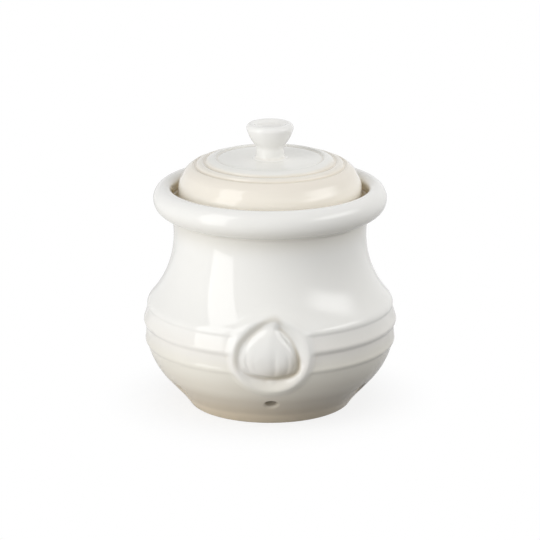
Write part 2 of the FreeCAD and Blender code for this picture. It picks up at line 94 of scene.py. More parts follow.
class Outline:
    # a line through corners and arcs: sampled closely, softened as a coat of glaze softens it, and measured
    fine = 0.05
    spareSamples = 1.2
    bellReach = 4

    def __init__(self, corners, soft):
        places = list(corners.values())
        runs, stops = [], [0.0]
        for corner, following in zip(places, places[1:]):
            run = self.run(corner, following[:2])
            stops.append(stops[-1] + np.hypot(*np.diff(run, axis=0).T).sum())
            runs.append(run[:-1])
        line = np.vstack([*runs, [places[-1][:2]]])
        along = np.r_[0, np.cumsum(np.hypot(*np.diff(line, axis=0).T))]
        self.stops = dict(zip(corners, np.array(stops) * along[-1] / stops[-1]))
        self.along = np.linspace(0, along[-1], int(along[-1] / self.fine))
        even = np.array([np.interp(self.along, along, column) for column in line.T])
        self.radius, self.height = self.softened(even, soft)

    def run(self, corner, end):
        # close places from a corner to the next, on a straight line or an arc
        start = corner[:2]
        count = max(3, int(self.spareSamples * math.dist(start, end) / self.fine))
        if len(corner) == 2:
            return np.linspace(start, end, count)
        return arcThrough(start, corner[2], end, count)

    def softened(self, even, soft):
        # each point is the bell-weighted mean of its neighbours; the two ends are held where they are
        reach = int(self.bellReach * soft / self.fine)
        weights = np.exp(-0.5 * (np.arange(-reach, reach + 1) * self.fine / soft) ** 2)
        wide = np.pad(even, ((0, 0), (reach, reach)), mode="reflect", reflect_type="odd")
        return np.array([np.convolve(row, weights / weights.sum(), "valid") for row in wide])

    def placeAt(self, along):
        return np.interp(along, self.along, self.radius), np.interp(along, self.along, self.height)

    def rows(self, stretches):
        # distances along the line: each stretch (start, pitch) is cut into equal rows of about its pitch
        starts, pitches = zip(*stretches)
        stops = [*starts, list(self.stops.values())[-1]]
        rows = [np.linspace(start, end, max(1, round((end - start) / pitch)) + 1)[:-1]
                for start, end, pitch in zip(stops, stops[1:], pitches)]
        return np.append(np.concatenate(rows), stops[-1])


def smooth(value, low, high):
    # 0 at low and before it, 1 at high and past it, and 3t^2 - 2t^3 between them
    share = np.clip((value - low) / (high - low), 0, 1)
    return share * share * (3 - 2 * share)


# meshes

def meshObject(name, places, faces, marks):
    # a smooth mesh from millimetres, with a value at each point for every mark
    mesh = bpy.data.meshes.new(name)
    mesh.from_pydata((places * mm).tolist(), [], faces)
    mesh.shade_smooth()
    for label, values in marks.items():
        mesh.attributes.new(label, "FLOAT", "POINT").data.foreach_set("value", np.float32(values))
    piece = bpy.data.objects.new(name, mesh)
    bpy.context.scene.collection.objects.link(piece)
    return piece


def turnedFaces(rowCount, columnCount, holes=None):
    # quads between the rows of a closed ring of columns, except in holes, and a fan of triangles at a pole
    index = 1 + np.arange(rowCount * columnCount).reshape(rowCount, columnCount)
    following = np.roll(index, -1, axis=1)
    quads = np.stack([index[:-1], following[:-1], following[1:], index[1:]], axis=-1)
    kept = quads[~holes] if holes is not None else quads.reshape(-1, 4)
    last = 1 + rowCount * columnCount
    startFan = [[0, b, a] for a, b in zip(index[0].tolist(), following[0].tolist())]
    endFan = [[last, a, b] for a, b in zip(index[-1].tolist(), following[-1].tolist())]
    return kept.tolist() + startFan + endFan, index


def surfaceBend(grid, passes=5):
    # turn of the surface per millimetre, blurred: normals move apart on a crest and together in a hollow
    along = np.gradient(grid, axis=0)
    across = np.roll(grid, -1, axis=1) - np.roll(grid, 1, axis=1)
    normal = np.cross(across, along)
    normal /= np.maximum(np.linalg.norm(normal, axis=-1, keepdims=True), 1e-12)
    total = 0
    for shift, axis in ((1, 0), (-1, 0), (1, 1), (-1, 1)):
        step = np.roll(grid, shift, axis=axis) - grid
        turn = np.roll(normal, shift, axis=axis) - normal
        total = total + np.sum(step * turn, axis=-1) / np.maximum(np.sum(step * step, axis=-1), 1e-6) / 2
    total[[0, -1]] = 0
    for _ in range(passes):
        total[1:-1] = (total[:-2] + 2 * total[1:-1] + total[2:]) / 4
        total = (np.roll(total, 1, axis=1) + 2 * total + np.roll(total, -1, axis=1)) / 4
    return total


def turnedPiece(name, line, rows, columnCount):
    # the outline turned about Z: (r sin a, -r cos a, h), with its two ends on the axis as poles
    angle = np.linspace(0, 2 * math.pi, columnCount, endpoint=False)
    radius, height = (part[1:-1, None] for part in line.placeAt(rows))
    grid = np.stack([radius * np.sin(angle), -radius * np.cos(angle), height + 0 * angle], axis=-1)
    ends = [[[0, 0, line.height[end]]] for end in (0, -1)]
    faces, _ = turnedFaces(*grid.shape[:2])
    bend = np.concatenate([[0], surfaceBend(grid).ravel(), [0]])
    return meshObject(name, np.vstack([ends[0], grid.reshape(-1, 3), ends[1]]), faces, {"bend": bend})


# pot: the turned wall with its lapped bands and roll rim, vents through the underside, and the medallion

pot = {
    "footRadius": 40.9, "footEdge": 0.9, "footRing": 5.5, "footRecess": 3.2,
    "footFlare": 3.1, "footHeight": 4.9, "undersideRun": 9.4, "undersideRise": 10.3, "haunchSwell": 1.0,
    "bellyRadius": 63.42, "bandStart": 31.1, "bandHeight": 9.8, "bandGrowth": 0.75, "bandLap": 0.5,
    "bandLip": 0.6, "bandCrest": 1.6, "bandFace": 2.9, "bandFaceIn": 0.1, "bandHollow": 0.12, "groove": 0.9,
    "shoulderLap": 0.3, "shoulderDrop": 1.6, "shoulderTurn": 3.6, "shoulderTurnIn": 1.5,
    "neckRadius": 48.15, "neckHeight": 87.0, "neckFlare": 0.5, "neckTop": 94.5,
    "rimUnder": (51.2, 97.4), "rimUnderBow": (0.3, 0.74), "rimOut": (58.2, 105.0), "rimCrown": (53.8, 111.9),
    "rimInner": 50.1, "rimInnerTop": 48.7, "rimInnerDrop": 3.8, "rimInnerBow": 0.26,
    "seatHeight": 103.5, "throatRadius": 41.5, "throatEdge": 1.0, "throatDepth": 7.0,
    "wall": 5.5, "floorCorner": 3.2, "floorCornerBow": (0.1, 0.25), "glazeSoftness": 0.38,
    "seatShadeStart": 3.0, "seatShadeFull": 2.0,  # the tan colour that paints the shade in the gap between the rim and the lid starts past the crown and is full past the rim
    "fineNeck": 9,  # the medallion's rows go on this far up the neck
    "pitches": {"middle": 5, "recess": 1.2, "ringIn": 1.1, "ringOut": 0.35, "footTop": 0.7, "crease": 0.9,
                "bands": 0.42, "shoulder": 0.6, "neckFoot": 0.8, "medallionTop": 1.6, "neck": 1.2,
                "neckTop": 0.65, "rimUnder": 0.95, "crown": 0.6, "rimTop": 1, "seatOut": 1.6, "seatIn": 0.4,
                "throatTop": 1.5, "throatLow": 2.4, "neckIn": 3.6, "bellyIn": 3.8, "floorEdge": 0.9,
                "floor": 5},
}
vents = {
    # bore and mouth are radii, and a coat of 0.4 narrows the bore
    "count": 6, "height": 13.1, "bore": 2.8, "mouth": 4.6, "lip": 1.4, "lipRings": 6, "boreRings": 3,
    "cells": 3, "rows": 10, "reach": 2.0, "pitchesPast": (0.8, 1),
}
# the fine cells on each side of the front are cut into parts
columns = {"perVent": 33, "fineCells": 13, "fineParts": 5}
cell = 2 * math.pi / (vents["count"] * columns["perVent"])
crease = (pot["footRadius"] + pot["footFlare"], pot["footHeight"])
haunch = (crease[0] + pot["undersideRun"], crease[1] + pot["undersideRise"])


def bandCorners(index, crest, above, lap):
    # a band's rounded lip, then its face, hollowed a little, up to the groove where the next laps over it
    bottom = pot["bandStart"] + index * pot["bandHeight"]
    face = (crest - pot["bandFaceIn"], bottom + pot["bandFace"])
    top = (above - lap, bottom + pot["bandHeight"] - pot["groove"] / 2)
    hollow = ((face[0] + top[0]) / 2 - pot["bandHollow"], (face[1] + top[1]) / 2)
    lip = (crest - pot["bandLip"], bottom + pot["groove"] / 2)
    return {
        f"lip{index}": (*lip, (crest, bottom + pot["bandCrest"])),
        f"face{index}": (*face, hollow),
        f"top{index}": top,
    }


def insidePlace(place):
    # a place on the straight underside, moved square into the pot by the wall
    slant = math.hypot(pot["undersideRun"], pot["undersideRise"])
    return (place[0] - pot["wall"] * pot["undersideRise"] / slant,
            place[1] + pot["wall"] * pot["undersideRun"] / slant)


def potOutline():
    # from the middle of the underside out over the foot, up the outside, over the rim and down to the floor
    foot, edge, recess, wall = pot["footRadius"], pot["footEdge"], pot["footRecess"], pot["wall"]
    ringIn = foot - pot["footRing"]
    belly = pot["bellyRadius"]
    lowCrest = belly - pot["bandGrowth"]
    haunchEnd = (lowCrest - pot["bandLip"] - pot["bandLap"], pot["bandStart"] - pot["groove"] / 2)
    chord = np.subtract(haunchEnd, haunch)
    outward = np.array([chord[1], -chord[0]]) / math.hypot(*chord)
    swell = np.add(haunch, haunchEnd) / 2 + pot["haunchSwell"] * outward
    shoulder = belly - pot["shoulderDrop"]
    shoulderHeight = pot["bandStart"] + 2 * pot["bandHeight"]
    turnVia = (shoulder - pot["shoulderTurnIn"] / 4, shoulderHeight + pot["shoulderTurn"] / 2)
    neck = (pot["neckRadius"], pot["neckHeight"])
    neckFoot = (shoulder - pot["shoulderTurnIn"], shoulderHeight + pot["shoulderTurn"])
    neckTop = (neck[0] + pot["neckFlare"], pot["neckTop"])
    crown, seat = pot["rimCrown"], pot["seatHeight"]
    throat, throatEdge = pot["throatRadius"], pot["throatEdge"]
    rimTop, rimBow = (pot["rimInnerTop"], crown[1] - pot["rimInnerDrop"]), pot["rimInnerBow"]
    # inside, the neck's arc keeps its centre and is smaller by the wall
    neckIn, neckRise = neckFoot[0] - neck[0], neck[1] - neckFoot[1]
    neckArc = (neckIn ** 2 + neckRise ** 2) / (2 * neckIn)
    innerNeck = (neck[0] - wall, neck[1])
    innerNeckFoot = (neckFoot[0] - wall * (neckArc - neckIn) / neckArc,
                     neckFoot[1] - wall * neckRise / neckArc)
    innerBelly = (belly - wall, pot["bandStart"] + pot["bandHeight"])
    floor, size, bow = recess + wall, pot["floorCorner"], pot["floorCornerBow"]
    sharp = insidePlace(crease)
    step = size / math.hypot(pot["undersideRun"], pot["undersideRise"])
    floorEdge = (sharp[0] + step * pot["undersideRun"], sharp[1] + step * pot["undersideRise"])
    return Outline({
        "middle": (0, recess),
        "recess": (ringIn - recess, recess),
        "ringIn": (ringIn, 0),
        "ringOut": (foot - edge, 0, roundedVia((foot, 0), edge, -1, 1)),
        "footTop": (foot, edge),
        "crease": crease,
        "haunch": (*haunch, tuple(swell)),
        "bands": haunchEnd,
        **bandCorners(0, lowCrest, belly - pot["bandLip"], pot["bandLap"]),
        **bandCorners(1, belly, shoulder, pot["shoulderLap"]),
        "shoulder": (shoulder, shoulderHeight + pot["groove"] / 2, turnVia),
        "neckFoot": (*neckFoot, levelVia(neckFoot, neck, neck[1])),
        "neck": (*neck, levelVia(neck, neckTop, neck[1])),
        "neckTop": (*neckTop, partWay(neckTop, pot["rimUnder"], *pot["rimUnderBow"])),
        "rimUnder": (*pot["rimUnder"], pot["rimOut"]),
        "crown": (*crown, partWay((rimTop[0], crown[1]), (crown[0], rimTop[1]), rimBow, rimBow)),
        "rimTop": rimTop,
        "seatOut": (pot["rimInner"], seat),
        "seatIn": (throat + throatEdge, seat, roundedVia((throat, seat), throatEdge, 1, -1)),
        "throatTop": (throat, seat - throatEdge),
        "throatLow": (throat, seat - pot["throatDepth"]),
        "neckIn": (*innerNeck, levelVia(innerNeck, innerNeckFoot, neck[1])),
        "bellyIn": (*innerNeckFoot, innerBelly),
        "haunchIn": insidePlace(haunch),
        "floorEdge": (*floorEdge, (sharp[0] - bow[0] * size, floor + bow[1] * size)),
        "floor": (sharp[0] - size, floor),
        "floorMiddle": (0, floor),
    }, pot["glazeSoftness"])


potLine = potOutline()
print("pot outline:", len(potLine.stops), "corners,", round(potLine.along[-1]), "mm round")

# garlic relief: places (across, up) on the medallion's face, from its middle
garlic = {
    "outline": [(1.6, 17.2), (3.7, 15.7), (4.7, 13.6), (5.7, 11.5), (7.6, 9.2), (9.9, 6.5), (12.2, 3.4),
                (13.8, 0.1), (14.4, -3.6), (13.6, -7.6), (10.4, -10.6), (4.8, -11.9), (-0.6, -12.1),
                (-6.0, -11.5), (-11.1, -10.3), (-14.9, -7.2), (-16.5, -2.6), (-16.2, 1.8), (-14.7, 5.7),
                (-11.0, 9.8), (-6.6, 13.1), (-1.9, 16.2)],
    "curveParts": 12, "middle": (0, -1),
    "foot": 0.45, "side": 1.2, "sideLean": 0.01, "face": 2.0, "ridge": 0.3, "bulge": 1.85, "bulgeReach": 14,
    "neckLevel": -0.3, "neckSoft": (-3, 12), "neckPasses": 24,
    "creases": [(-1, 0), (-0.73, 0.12), (-0.51, 0.16), (0.12, 0.46), (0.6, 0.34), (0.82, 0.18), (1, 0)],
    "creaseFade": (8, -4), "creaseEnd": 0.999, "leastHalf": 0.5,
    "root": (0.1, -13.5), "rootHalf": (3.0, 1.5), "rootHeight": 0.6, "rootFade": (0.2, 1.2),
    # painted shade round the garlic, low on its right and in a crescent on its left: where it starts, how it
    # leans and how far it reaches
    "paintedShadeLow": (2, 14), "paintedShadeLean": 0.6, "paintedShadeReach": (11.0, 1.4),
    "crescentSide": (6, 16), "crescentStart": (-0.9, 0.5), "crescentEnd": (1.0, 3.5), "crescentShare": 0.5,
}
medallion = {"height": 41, "dish": (12.4, 18.8), "blend": (18.4, 23.2), "proud": 0.8, "depth": 4.6,
             "half": 23.4, "fallUp": 9.47, "fallDown": 7.13, "arcPoints": 200}


def closedCurve(places, count):
    # Catmull-Rom curve through all the places: cubic pieces, with slopes of half the way across their ends
    ring = np.array(places, float)
    before, after, beyond = (np.roll(ring, shift, axis=0)[:, None] for shift in (1, -1, -2))
    ring = ring[:, None]
    share = np.linspace(0, 1, count, endpoint=False)[None, :, None]
    curve = (2 * ring + (after - before) * share + (2 * before - 5 * ring + 4 * after - beyond) * share ** 2
             + (3 * ring - before - 3 * after + beyond) * share ** 3) / 2
    return curve.reshape(-1, 2)


def fromOutline(across, up, line):
    # distance from the garlic's outline, and whether a place is inside it, by its distance from the middle
    place = np.stack([across, up], axis=-1)
    apart = np.min(np.hypot(*(place[..., None, :] - line).transpose(3, 0, 1, 2)), axis=-1)
    fromMiddle, lineFromMiddle = place - garlic["middle"], line - garlic["middle"]
    turn, lineTurn = (np.arctan2(part[..., 1], part[..., 0]) for part in (fromMiddle, lineFromMiddle))
    order = lineTurn.argsort()
    reach = np.interp(turn, lineTurn[order], np.hypot(*lineFromMiddle[order].T), period=2 * math.pi)
    return apart, np.hypot(fromMiddle[..., 0], fromMiddle[..., 1]) < reach


def lesser(first, second):
    # the lesser of two heights with a soft ridge where they cross: (a + b - sqrt((a - b)^2 + r^2)) / 2
    return (first + second - np.hypot(first - second, garlic["ridge"])) / 2


def dishDepth(away):
    return medallion["depth"] * (1 - smooth(away, *medallion["dish"]))


def creaseDepth(across, up, line):
    # half a cosine wave, squared, round each crease, which is a fixed share of the outline's half width
    top, bottom = line[:, 1].argmax(), line[:, 1].argmin()
    halves = []
    for start, end in ((top, bottom), (bottom, top)):
        side = line[np.arange(start, start + (end - start) % len(line) + 1) % len(line)]
        side = side[side[:, 1].argsort()]
        halves.append(np.maximum(abs(np.interp(up, side[:, 1], side[:, 0])), garlic["leastHalf"]))
    end = garlic["creaseEnd"]
    longitude = np.clip(across / np.where(across > 0, *halves), -end, end)
    creases, depths = np.array(garlic["creases"]).T
    after = np.searchsorted(creases, longitude)
    lobe = (longitude - creases[after - 1]) / (creases[after] - creases[after - 1])
    depth = np.where(lobe < 0.5, depths[after - 1], depths[after])
    return depth * (0.5 + 0.5 * np.cos(2 * math.pi * lobe)) ** 2 * smooth(up, *garlic["creaseFade"])


def rootHeight(across, up):
    # a low oval button under the bulb
    offset = (part - middle for part, middle in zip((across, up), garlic["root"]))
    away = np.hypot(*(part / half for part, half in zip(offset, garlic["rootHalf"])))
    return garlic["rootHeight"] * (1 - smooth(away, *garlic["rootFade"]))


def paintedShadeShare(across, up, apart, inside):
    # painted shade round the garlic: low on its right, inside the outline and just past it, where the bulb
    # shades the dish, and in a crescent on its left, where the dish's wall is in shade
    low = smooth(garlic["paintedShadeLean"] * across - up, *garlic["paintedShadeLow"])
    low = low * (1 - smooth(apart / np.where(inside, *garlic["paintedShadeReach"]), 0, 1))
    past = np.where(inside, -apart, apart)
    crescent = smooth(past, *garlic["crescentStart"]) * (1 - smooth(past, *garlic["crescentEnd"]))
    crescent = crescent * smooth(up - across, *garlic["crescentSide"])
    return np.maximum(low, garlic["crescentShare"] * crescent)


def garlicRelief(across, up):
    # height over the dish, and share of painted shade round it. The height is the least of a side that
    # climbs from the outline, a bulged face with soft creases, and a level where the neck runs out into the
    # dish's wall
    line = closedCurve(garlic["outline"], garlic["curveParts"])
    apart, inside = fromOutline(across, up, line)
    within = (np.hypot(apart, garlic["foot"]) - garlic["foot"]) * inside
    side = within * (garlic["side"] + garlic["sideLean"] * (across - up))
    share = np.clip(within / garlic["bulgeReach"], 0, 1)
    face = garlic["face"] + garlic["bulge"] * share * (2 - share) - creaseDepth(across, up, line)
    level = garlic["neckLevel"] + dishDepth(np.hypot(across, up))
    height = np.maximum(lesser(lesser(side, face), level), 0) * inside
    for _ in range(garlic["neckPasses"]):
        # towards the top, each place goes half way to the mean of its four neighbours
        mean = sum(np.roll(height, shift, axis) for shift, axis in ((1, 0), (-1, 0), (1, 1), (-1, 1))) / 4
        height = height + smooth(up, *garlic["neckSoft"]) * (mean - height) / 2
    return height + rootHeight(across, up), paintedShadeShare(across, up, apart, inside)


def medallionFace(height):
    # radius of the medallion's face at this height: the circle through its lower end, middle and upper end
    face, half = pot["bellyRadius"] + medallion["proud"], medallion["half"]
    ends = (face - medallion["fallDown"], -half), (face, 0), (face - medallion["fallUp"], half)
    arc = arcThrough(*ends, medallion["arcPoints"])
    return np.interp(height - medallion["height"], arc[:, 1], arc[:, 0])


def withMedallion(radius, height, angle):
    # the garlic lies on the floor of a round smooth bowl, and the whole blends into the wall round its crest
    face = medallionFace(height)
    across, up = face * np.sin(angle), height - medallion["height"]
    away = np.hypot(across, up)
    relief, gathered = garlicRelief(across, up)
    share = 1 - smooth(away, *medallion["blend"])
    return radius + (face + relief - dishDepth(away) - radius) * share, share, gathered * share


def potColumns():
    # angles from the front: fine columns across the medallion, coarse ones round the rest
    cells, parts = columns["fineCells"], columns["fineParts"]
    fine = np.arange(-cells * parts, cells * parts) * cell / parts
    return np.concatenate([fine, np.arange(cells, vents["count"] * columns["perVent"] - cells) * cell])


def ventColumns(number):
    # first and last column of one vent's window; the front one has the fine columns
    fine = columns["fineCells"] * columns["fineParts"]
    middle, half = 2 * fine + number * columns["perVent"] - columns["fineCells"], vents["cells"]
    if number == 0:
        middle, half = fine, vents["cells"] * columns["fineParts"]
    return middle - half, middle + half


def roundWindow(along, angle, middle, mouth):
    # squares round each vent become circles: p is scaled by its largest side over its length, less far out
    sector = 2 * math.pi / vents["count"]
    across = ((angle + sector / 2) % sector - sector / 2) / (vents["cells"] * cell)
    up = (along - middle) / mouth
    largest, length = np.maximum(abs(across), abs(up)), np.maximum(np.hypot(across, up), 1e-9)
    scale = 1 + (largest / length - 1) * (1 - smooth(largest, 1, vents["reach"]))
    return middle + up * scale * mouth, angle + (scale - 1) * across * vents["cells"] * cell


def windowLoop(index, low, high, first, last):
    # the window's corners in order, anticlockwise as seen from outside
    rows = np.linspace(low, high, abs(high - low) + 1).astype(int)
    across = np.arange(first, last + 1)
    return np.concatenate([index[low, across[:-1]], index[rows[:-1], last],
                           index[high, across[:0:-1]], index[rows[:0:-1], first]])


def boreRings(outer, inner, axisStart, axisEnd):
    # rings from the outer loop through the wall to the inner one, with a quarter-ellipse lip at each end
    thick, lip, bore = math.dist(axisStart, axisEnd), vents["lip"], vents["bore"]
    inward = np.subtract(axisEnd, axisStart) / thick
    spokes, starts = [], []
    for loop, middle in ((outer, axisStart), (inner, axisEnd)):
        away = loop - middle
        uneven = np.outer(away @ inward, inward)
        mouth = np.hypot.reduce(away - uneven, axis=1)[:, None]
        starts.append((mouth, uneven))
        spokes.append((away - uneven) / mouth)
    turn = np.radians(np.linspace(0, 90, vents["lipRings"] + 1)[1:])
    deep, wide = lip * (1 - np.cos(turn)), 1 - np.sin(turn)
    straight = np.linspace(lip, thick - lip, vents["boreRings"] + 2)[1:-1]
    depths = np.concatenate([deep, straight, thick - deep[::-1]])
    flares = np.concatenate([wide, 0 * straight, wide[::-1]])
    rings = []
    for depth, flare in zip(depths, flares):
        share = smooth(depth, lip, thick - lip)
        mouth, uneven = starts[0 if depth < thick / 2 else 1]
        spoke = (1 - share) * spokes[0] + share * spokes[1]
        spoke /= np.hypot.reduce(spoke, axis=1)[:, None]
        rings.append(axisStart + inward * depth + spoke * (bore + (mouth - bore) * flare) + uneven * flare)
    return rings


def ventWindows():
    # outside and inside: a window's middle along the outline, half its length, and where the axis meets it
    at = potLine.stops
    upShare = (vents["height"] - crease[1]) / (haunch[1] - crease[1])
    belowHaunch = (1 - upShare) * (at["haunch"] - at["crease"])
    middles = (at["haunch"] - belowHaunch, at["haunchIn"] + belowHaunch)
    axis = [np.array([0, -radius, height]) for radius, height in map(potLine.placeAt, middles)]
    halves = (vents["mouth"], vents["mouth"] * axis[1][1] / axis[0][1])
    return list(zip(middles, halves, axis))


def potRows(windows):
    # rows at the pitches given from each named place on, and equal ones within each window
    at = {**potLine.stops, "medallionTop": potLine.stops["neckFoot"] + pot["fineNeck"]}
    stretches = [(at[place], pitch) for place, pitch in pot["pitches"].items()]
    for (middle, half, _), pitch in zip(windows, vents["pitchesPast"]):
        stretches += [(middle - half, 2 * half / vents["rows"]), (middle + half, pitch)]
    return potLine.rows(sorted(stretches))[1:-1]


def potSurface(rows, windows):
    # a grid of places (r sin a, -r cos a, h), its windows rounded and the medallion laid on, and its marks
    at = potLine.stops
    along, angle = np.meshgrid(rows, potColumns(), indexing="ij")
    skins = (("crease", "bands"), ("bellyIn", "floor"))
    for (start, end), (middle, half, _) in zip(skins, windows):
        skin = (along > at[start]) & (along < at[end])
        newAlong, newAngle = roundWindow(along, angle, middle, half)
        along, angle = np.where(skin, newAlong, along), np.where(skin, newAngle, angle)
    radius, height = potLine.placeAt(along)

    # the medallion is laid on the fine columns between the haunch and the neck
    wrapped = (angle + math.pi) % (2 * math.pi) - math.pi
    blockRows = np.arange(*np.searchsorted(rows, [at["haunch"], at["neck"]]))
    blockColumns = (abs(wrapped[0]) < columns["fineCells"] * cell).nonzero()[0]
    block = np.ix_(blockRows, blockColumns)
    # raised marks the medallion; the other mark is the share of painted shade round the garlic
    raised, gathered = np.zeros_like(radius), np.zeros_like(radius)
    laid = withMedallion(radius[block], height[block], wrapped[block])
    radius[block], raised[block], gathered[block] = laid
    grid = np.stack([radius * np.sin(angle), -radius * np.cos(angle), height], axis=-1)
    # painted shade in the gap between the rim and the lid, as a tan colour on the seat and the inner walls
    # beside it
    tan = smooth(along, at["crown"] + pot["seatShadeStart"], at["rimTop"] + pot["seatShadeFull"])
    seated = tan * (along < at["throatLow"])
    return grid, {"bend": surfaceBend(grid), "medallion": raised, "seat": seated, "gathered": gathered}


def makePot():
    # the surface with its poles; each window is left open in both skins, and a bore joins the two
    windows = ventWindows()
    rows = potRows(windows)
    grid, marks = potSurface(rows, windows)
    flatGrid = grid.reshape(-1, 3)
    places = [[[0, 0, pot["footRecess"]]], flatGrid, [[0, 0, pot["footRecess"] + pot["wall"]]]]
    marks = {label: [[0], values.ravel(), [0]] for label, values in marks.items()}
    (low, high), (highIn, lowIn) = (np.abs(rows[:, None] - [middle - half, middle + half]).argmin(axis=0)
                                    for middle, half, _ in windows)
    sides = [ventColumns(number) for number in range(vents["count"])]
    holes = np.zeros((grid.shape[0] - 1, grid.shape[1]), bool)
    for first, last in sides:
        holes[low:high, first:last] = True
        holes[highIn:lowIn, first:last] = True
    faces, index = turnedFaces(*grid.shape[:2], holes)
    count = 2 + index.size
    for number, (first, last) in enumerate(sides):
        turn = number * 2 * math.pi / vents["count"]
        cosine, sine = math.cos(turn), math.sin(turn)
        spin = np.array([[cosine, -sine, 0], [sine, cosine, 0], [0, 0, 1]])
        outer = windowLoop(index, low, high, first, last)
        inner = windowLoop(index, lowIn, highIn, first, last)
        axis = [spin @ place for _, _, place in windows]
        rings = np.array(boreRings(flatGrid[outer - 1], flatGrid[inner - 1], *axis))
        ringPoints = rings.shape[0] * rings.shape[1]
        numbers = [outer, *(count + np.arange(ringPoints).reshape(rings.shape[:2])), inner]
        for near, far in zip(numbers, numbers[1:]):
            faces += np.stack([near, np.roll(near, -1), np.roll(far, -1), far], axis=-1).tolist()
        places.append(rings.reshape(-1, 3))
        for parts in marks.values():
            parts.append(np.zeros(ringPoints))
        count += ringPoints
    marks = {label: np.concatenate(parts) for label, parts in marks.items()}
    return meshObject("glazed_pot", np.vstack(places), faces, marks)


glazedPot = makePot()
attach(glazedPot, "pot")
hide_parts("pot")
print("pot made:", len(glazedPot.data.polygons), "faces")


# lid: a flange that drops into the throat, a side, a rounded shoulder, two ringed steps and a flat disc

lid = {
    "seatHeight": pot["seatHeight"], "radius": 45.6, "footEdge": 0.7, "sideHeight": 6.9,
    "shoulder": (1.6, 12.2), "waist": (3.0, 15.0), "edge": (5.0, 17.05), "crown": (7.4, 18.6), "rise": 3.9,
    "rings": [(0.8, 4.7), (5.5, 6.5)], "grooveHalf": 0.95, "grooveDepth": 0.8, "ringSwell": 0.35,
    "discInset": 12.0, "discSink": 0.75, "wall": 5.2, "hollowSide": 8.5, "hollowBow": (0.72, 0.25),
    "flangeGap": 1.0, "flangeWidth": 4.6, "flangeDepth": 5.5, "flangeEdge": 0.8,
    "glazeSoftness": 0.35, "columns": 240,
    "pitches": {"hollowMiddle": 2.5, "underDisc": 1.5, "hollowSide": 1.2, "flangeIn": 0.35, "flangeOut": 1.0,
                "seatIn": 0.5, "foot": 0.8, "side": 0.5, "crown": 0.25, "disc": 1.8},
}
discHeight = lid["seatHeight"] + lid["crown"][1] + lid["rise"] - lid["discSink"]


def crownPlace(inset, lift=0.0):
    # a place on the sloping crown, this far in from where it starts
    return (lid["radius"] - lid["crown"][0] - inset,
            lid["seatHeight"] + lid["crown"][1] + inset * lid["rise"] / lid["discInset"] + lift)


def ringCorners():
    # a round groove before each ring, and the ring swelled a little up to the next groove
    corners, half = {}, lid["grooveHalf"]
    for number, (inset, width) in enumerate(lid["rings"]):
        swell = crownPlace(inset + width / 2, lid["ringSwell"])
        corners[f"groove{number}"] = (*crownPlace(inset - half), crownPlace(inset, -lid["grooveDepth"]))
        corners[f"ring{number}"] = (*crownPlace(inset + half), swell)
    return corners


def lidOutline():
    # from the middle of the hollow down the flange, over the seat and up the outside to the disc's middle
    seat, radius, edge, half = lid["seatHeight"], lid["radius"], lid["footEdge"], lid["grooveHalf"]
    discEdge = crownPlace(lid["discInset"])[0]
    flange, flangeEdge = pot["throatRadius"] - lid["flangeGap"], lid["flangeEdge"]
    flangeIn, flangeLow = flange - lid["flangeWidth"], seat - lid["flangeDepth"]
    underDisc = (discEdge - lid["wall"] / 2, discHeight - lid["wall"])
    hollowSide = (flangeIn, seat + lid["hollowSide"])
    side = (radius, seat + lid["sideHeight"])
    discGroove = (discEdge, discHeight - lid["grooveDepth"] / 2)
    shoulder, waist, crownEdge, crown = ((radius - lid[part][0], seat + lid[part][1])
                                         for part in ("shoulder", "waist", "edge", "crown"))
    return Outline({
        "hollowMiddle": (0, underDisc[1]),
        "underDisc": (*underDisc, partWay(underDisc, hollowSide, *lid["hollowBow"])),
        "hollowSide": hollowSide,
        "flangeIn": (flangeIn, flangeLow + flangeEdge, roundedVia((flangeIn, flangeLow), flangeEdge, 1, 1)),
        "flangeLow": (flangeIn + flangeEdge, flangeLow),
        "flangeTurn": (flange - flangeEdge, flangeLow, roundedVia((flange, flangeLow), flangeEdge, -1, 1)),
        "flangeOut": (flange, flangeLow + flangeEdge),
        "seatIn": (flange, seat),
        "seatOut": (radius - edge, seat, roundedVia((radius, seat), edge, -1, 1)),
        "foot": (radius, seat + edge),
        "side": (*side, levelVia(side, shoulder, side[1])),
        "shoulder": shoulder,
        "waist": (*waist, crownEdge),
        "crown": crown,
        **ringCorners(),
        "discGroove": (*crownPlace(lid["discInset"] - half), discGroove),
        "disc": (discEdge - half, discHeight),
        "discMiddle": (0, discHeight),
    }, lid["glazeSoftness"])


def makeTurned(name, line, sizes):
    # rows at the pitches given from each named corner on
    rows = line.rows([(line.stops[corner], pitch) for corner, pitch in sizes["pitches"].items()])
    return turnedPiece(name, line, rows, sizes["columns"])


glazedLid = makeTurned("glazed_lid", lidOutline(), lid)
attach(glazedLid, "lid")
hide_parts("lid")
print("lid made:", len(glazedLid.data.polygons), "faces")


# knob: a short stem that swells into a cup with a shallow dish in its top; heights are above the lid's disc

knob = {
    "root": 9.0, "rootFillet": (7.3, 0.75), "stem": (6.95, 2.6), "stemTop": 5.4, "throat": (7.45, 6.8),
    "swell": (8.3, 7.9), "cup": (10.5, 11.6), "widest": (11.7, 15.1), "rim": (11.55, 16.2),
    "ridge": (11.0, 17.05), "dome": (10.2, 17.6), "lip": (9.2, 17.75), "lipTurn": (8.3, 17.55),
    "dish": (7.5, 17.0), "hollow": (6.2, 16.0), "dishFloor": (4.2, 15.5),
    "glazeSoftness": 0.28, "columns": 160,
    "pitches": {"rootMiddle": 2.5, "root": 0.35, "stem": 0.45, "widest": 0.28, "dish": 0.4, "floor": 0.8},
}


